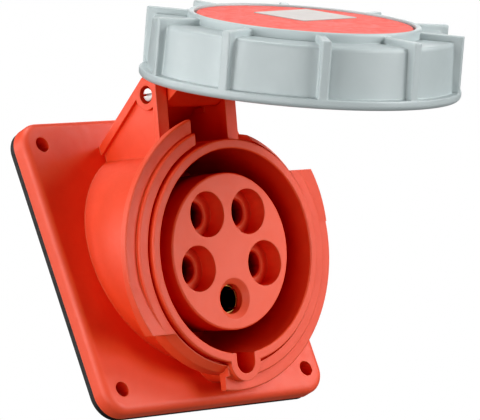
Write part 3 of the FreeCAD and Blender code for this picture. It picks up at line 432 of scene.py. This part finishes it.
def grip_ring_sheets():
    """The screw ring. Two outlines share their rows: the plain wall and the wall where a rib stands. A column
    of the grid takes a mix of both, from 0 between the ribs to 1 on a rib, with a rounded step at the rib's
    sides. A rib's columns keep their distance from its middle line at every radius, so its sides are
    parallel. The two cams are short arcs inside."""
    ribs, first_rib = 10, math.radians(17.6)
    plain = [(45.0, -8.5), (48.7, -8.5), (49.7, -7.5), (49.7, -5.8), (49.5, -5.5), (47.3, -5.5), (46.7, 9.9),
             (36.0, 9.9), (36.0, 12.4), (35.7, 12.8), (34.4, 12.8), (34.1, 12.4), (34.1, 10.0), (31.5, 10.0),
             (31.5, 7.4), (45.0, 7.4)]
    ribbed = plain[:5] + [(49.5, -5.3), (49.5, 11.9), (36.0, 11.9)] + plain[8:]
    rounding = [0.4, 0.6, 0.6, 0.25, 0.2, 0.3, 1.2, 0.3, 0.35, 0.35, 0.35, 0.35, 0.3, 0.3, 0.3, 0.4]
    wall = round_corners(plain, rounding)
    rib = round_corners(ribbed, rounding[:6] + [0.4] + rounding[7:])

    # distance of a column from the rib's middle line, and its share of the rib's outline
    offset = np.array([0, 0.7, 1.05, 1.2, 1.33, 1.43, 1.49, 1.5, 1.505, 1.53, 1.6, 1.75, 2.0])
    mix = np.array([1, 1, 1, 0.985, 0.95, 0.88, 0.78, 0.7, 0.24, 0.14, 0.06, 0.012, 0])
    offset, mix = np.concatenate([-offset[:0:-1], offset]), np.concatenate([mix[:0:-1], mix])
    section = wall[None] + mix[:, None, None] * (rib - wall)[None]
    radius, height = section[..., 0], section[..., 1]
    turn_on_rib = np.arcsin(offset[:, None] / radius)
    step = 2 * math.pi / ribs
    share = np.linspace(0, 1, 14)[1:-1, None]
    edge = np.arcsin(offset[-1] / wall[None, :, 0])
    turn_between = edge + share * (step - 2 * edge)
    angle = np.concatenate([turn_on_rib, turn_between])
    radius = np.concatenate([radius, wall[None, :, 0] + 0 * share])
    height = np.concatenate([height, wall[None, :, 1] + 0 * share])
    angle = np.concatenate([angle + first_rib + step * index for index in range(ribs)])
    radius, height = np.tile(radius, (ribs, 1)), np.tile(height, (ribs, 1))
    whole = np.stack([radius * np.cos(angle), radius * np.sin(angle), height], axis=-1)

    cam = round_corners([(40.9, -8.5), (45.6, -8.5), (45.6, -6.2), (40.9, -6.2)], 0.4)
    cams = [(arc_sheet(cam, start, sweep=34.0, facets=28), False, True) for start in (38.5, 218.5)]
    return [(whole, True, True)] + cams


def plate_sheet(wide, tall, corner, low, high, edge, centre, turn):
    """A thin plate with round corners. The border runs round the rectangle, the corners as quarter circles.
    The rows go from the middle of the top to the border, over a rounded edge, down and to the middle of
    the bottom, each the border moved inwards along itself."""
    quarter = np.linspace(0, math.pi / 2, 7)
    angle = np.concatenate([quarter + math.pi / 2 * index for index in range(4)])
    side_x = np.repeat([1, -1, -1, 1], len(quarter)) * (wide / 2 - corner)
    side_y = np.repeat([1, 1, -1, -1], len(quarter)) * (tall / 2 - corner)
    inner = corner * 0.98
    bevel = edge * 0.3
    rows = [(0.0, high, 0), (inner, high, 1), (edge, high, 1), (bevel, high - bevel, 1),
            (0.0, high - edge, 1), (0.0, low, 1), (inner, low, 1), (0.0, low, 0)]
    turn = math.radians(turn)
    columns = []
    for inset, height, spread in rows:
        x = spread * (side_x + (corner - inset) * np.cos(angle))
        y = spread * (side_y + (corner - inset) * np.sin(angle))
        columns.append(np.stack([centre[0] + x * math.cos(turn) - y * math.sin(turn),
                                 centre[1] + x * math.sin(turn) + y * math.cos(turn), height + 0 * x],
                                axis=-1))
    return np.stack(columns, axis=1)


def dressed(piece, material, slot, body, *nodes):
    """Gives a piece its finish in its first material slot, and lets it ride on its body in place of its
    nodes. `slot` is not used.
    """
    piece.data.materials.append(material)
    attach(piece, body)
    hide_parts(*nodes)


make_camera()
for name, (turn, rise, power, size) in LIGHTS.items():
    make_light(name, turn, rise, power, size)
make_world()
set_tones()

# Finishes: each has its base colour, the colour it drifts to and the colour of its edges, which is a painted
# highlight
RED = moulding("red_moulding", (0.87, 0.125, 0.064), (0.83, 0.113, 0.056), (0.90, 0.19, 0.11),
               rough=(0.44, 0.56), specular=0.7)
RED_INSERT = moulding("red_insert", (0.90, 0.158, 0.09), (0.86, 0.146, 0.082), (0.92, 0.2, 0.12),
                      rough=(0.46, 0.58), specular=0.6)
# painted shade in the insert's passages: its colour falls to 35 % from 9 to 14 mm behind the rim
paint_passage_shade(RED_INSERT, SOCKET_PLACE, start=-0.009, end=-0.014, share=0.35)
RED_DISC = moulding("red_disc", (0.88, 0.07, 0.035), (0.85, 0.063, 0.03), (0.9, 0.11, 0.07),
                    rough=(0.42, 0.54), specular=0.8)
GREY = moulding("grey_moulding", (0.54, 0.60, 0.605), (0.51, 0.57, 0.575), (0.78, 0.84, 0.845))
RUBBER = moulding("dark_rubber", (0.03, 0.028, 0.028), (0.022, 0.02, 0.02), (0.05, 0.047, 0.047),
                  rough=(0.6, 0.8))
DARK = moulding("dark_moulding", (0.035, 0.035, 0.038), (0.028, 0.028, 0.03), (0.06, 0.06, 0.065))
BRASS = turning("contact_brass", (0.42, 0.28, 0.12), (0.34, 0.22, 0.09), (0.55, 0.4, 0.2), rough=(0.3, 0.44))
STEEL = turning("bright_steel", (0.72, 0.72, 0.71), (0.66, 0.66, 0.65), (0.8, 0.8, 0.8), rough=(0.36, 0.5),
                relief=0.000001)
PLATED = turning("plated_steel", (0.62, 0.61, 0.56), (0.56, 0.55, 0.5), (0.75, 0.74, 0.7), rough=(0.25, 0.4))
LABEL = moulding("pale_label", (0.62, 0.58, 0.555), (0.56, 0.52, 0.5), (0.66, 0.62, 0.6), rough=(0.4, 0.5),
                 relief=0.000004, corner=0.0001)
WASHER = moulding("pale_washer", (0.62, 0.60, 0.55), (0.58, 0.56, 0.5), (0.7, 0.68, 0.62), corner=0.0001)
FLOOR = moulding("pale_floor", (0.80, 0.80, 0.79), (0.77, 0.77, 0.76), (0.8, 0.8, 0.79), rough=(0.7, 0.85),
                 grain=300.0, relief=0.0002, corner=0.001)
make_floor(FLOOR)

DRESSES = {
    "housing": RED,
    "contact_carrier": RED_INSERT,
    "carrier_base": RED_INSERT,
    "lid": RED,
    "flange_gasket": RUBBER,
    "terminal_block": DARK,
    "contact_l1": BRASS,
    "contact_l2": BRASS,
    "contact_l3": BRASS,
    "contact_n": BRASS,
    "contact_earth": BRASS,
    "locking_ring": GREY,
    "lid_cap": RED_DISC,
    "label_plate": LABEL,
    "hinge_pin": STEEL,
    "contact_clips": STEEL,
    "terminal_screws": PLATED,
    "carrier_screws": PLATED,
    "carrier_seal": RUBBER,
    "lid_seal": RUBBER,
    "slide_washer": WASHER,
}
for node, material in DRESSES.items():
    mesh = NODES[node].data
    mesh.materials.clear()
    mesh.materials.append(material)

# The lid's pieces: grip ring, disc, label, lip seal and washer
grip_ring = skin("grip_ring", grip_ring_sheets(), LID_PLACE)
dressed(grip_ring, GREY, "grey_moulding", "ring", "locking_ring")

CAP_OUTLINE = round_corners(
    [(0, 7.3), (10.0, 7.3), (10.0, 10.3), (33.5, 10.3), (33.5, 12.3), (0, 12.3)],
    [0, 0.3, 0.3, 0.3, 0.55, 0], closed=False)
cap_disc = skin("cap_disc", [(turned_sheet(CAP_OUTLINE, 160), True, False)], LID_PLACE)
dressed(cap_disc, RED_DISC, "red_disc", "lid", "lid_cap")

LABEL_SHEET = plate_sheet(wide=26.5, tall=20.5, corner=0.9, low=12.3, high=12.55, edge=0.12,
                          centre=(8.7, 8.7), turn=7.0)
label = skin("label", [(LABEL_SHEET, True, False)], LID_PLACE)
dressed(label, LABEL, "pale_label", "lid", "label_plate")

SEAL_OUTLINE = round_corners(
    [(36.9, 4.2), (36.9, 0.9), (36.0, 0.3), (34.6, 0.3), (33.6, 0.9), (32.6, 0.9), (31.6, 0.3), (30.6, 0.9),
     (30.6, 4.2)], 0.35)
lid_seal_lips = skin("lid_seal_lips", [(turned_sheet(SEAL_OUTLINE, 144), True, True)], LID_PLACE)
dressed(lid_seal_lips, RUBBER, "dark_rubber", "lid", "lid_seal")

WASHER_OUTLINE = round_corners([(31.2, 6.8), (33.5, 6.8), (33.5, 7.3), (31.2, 7.3)], 0.15)
ring_washer = skin("ring_washer", [(turned_sheet(WASHER_OUTLINE, 128), True, True)], LID_PLACE)
dressed(ring_washer, WASHER, "pale_washer", "lid", "slide_washer")

# The socket's pieces: joint seal, hinge pin, clips and screws
JOINT_OUTLINE = round_corners([(25.6, -46.2), (27.0, -46.2), (27.0, -45.0), (25.6, -45.0)], 0.5)
joint_seal = skin("joint_seal", [(turned_sheet(JOINT_OUTLINE, 96), True, True)], SOCKET_PLACE)
dressed(joint_seal, RUBBER, "dark_rubber", "socket", "carrier_seal")

# the pin's head looks along -X out of the left cheek
PIN_PLACE = Matrix.Translation((-16.1, 51.1, -18.0)) @ Matrix.Rotation(math.radians(-90), 4, "Y")
PIN_STEPS = [(2.1, -0.15), (2.1, -1.95), (2.05, -2.2), (2.0, -2.2), (2.0, -31.6), (1.6, -32.0), (0, -32.0)]
PIN_SHEETS = screw_sheets(PIN_PLACE, PIN_STEPS, radius=2.0, rise=0.1, slot_wide=0.62, slot_deep=1.3)
slotted_pin = skin("slotted_pin", PIN_SHEETS, SOCKET_PLACE)
dressed(slotted_pin, STEEL, "bright_steel", "socket", "hinge_pin")

# the contacts stand on a circle; the earth contact is at 270 degrees, in line with the key
CONTACT_CIRCLE = 14.95
PHASE_TURNS = (198, 126, 54, 342)
EARTH_TURN = 270
CLIP_OUTLINE = round_corners([(3.9, -24.9), (4.4, -24.9), (4.4, -19.9), (3.9, -19.9)], 0.2)
clips = []
for turn in PHASE_TURNS:
    centre = (CONTACT_CIRCLE * math.cos(math.radians(turn)), CONTACT_CIRCLE * math.sin(math.radians(turn)))
    clips.append((arc_sheet(CLIP_OUTLINE, turn + 20, sweep=320, facets=60, centre=centre), False, True))
clip_rings = skin("clip_rings", clips, SOCKET_PLACE)
dressed(clip_rings, STEEL, "bright_steel", "socket", "contact_clips")

FLOOR_SCREW_STEPS = [(2.1, -0.15), (2.1, -1.8), (1.5, -1.8)] + [(1.5, -0.1 * row) for row in range(19, 98)] \
    + [(0.9, -9.8), (0, -9.8)]
FLOOR_SCREWS = screw_circle((45, 135, 225, 315), (29.2, -51.8), math.pi, FLOOR_SCREW_STEPS, radius=1.95,
                            rise=0.35, slot_wide=0.6, slot_deep=0.6, pitch=0.7, depth=0.25,
                            thread=(-1.85, -9.75))
floor_screws = skin("floor_screws", FLOOR_SCREWS, SOCKET_PLACE)
dressed(floor_screws, PLATED, "plated_steel", "socket", "carrier_screws")

GRUB_STEPS = [(2.0, -0.2)] + [(2.0, -0.1 * row) for row in range(3, 57)] + [(1.5, -5.75), (0, -5.75)]
CLAMP_SCREWS = screw_circle(PHASE_TURNS + (EARTH_TURN,), (18.75, -55.4), math.pi / 2, GRUB_STEPS,
                            radius=1.85, rise=0.05, slot_wide=0.6, slot_deep=1.0, pitch=0.7, depth=0.2,
                            thread=(-0.35, -5.55))
clamp_screws = skin("clamp_screws", CLAMP_SCREWS, SOCKET_PLACE)
dressed(clamp_screws, PLATED, "plated_steel", "socket", "terminal_screws")
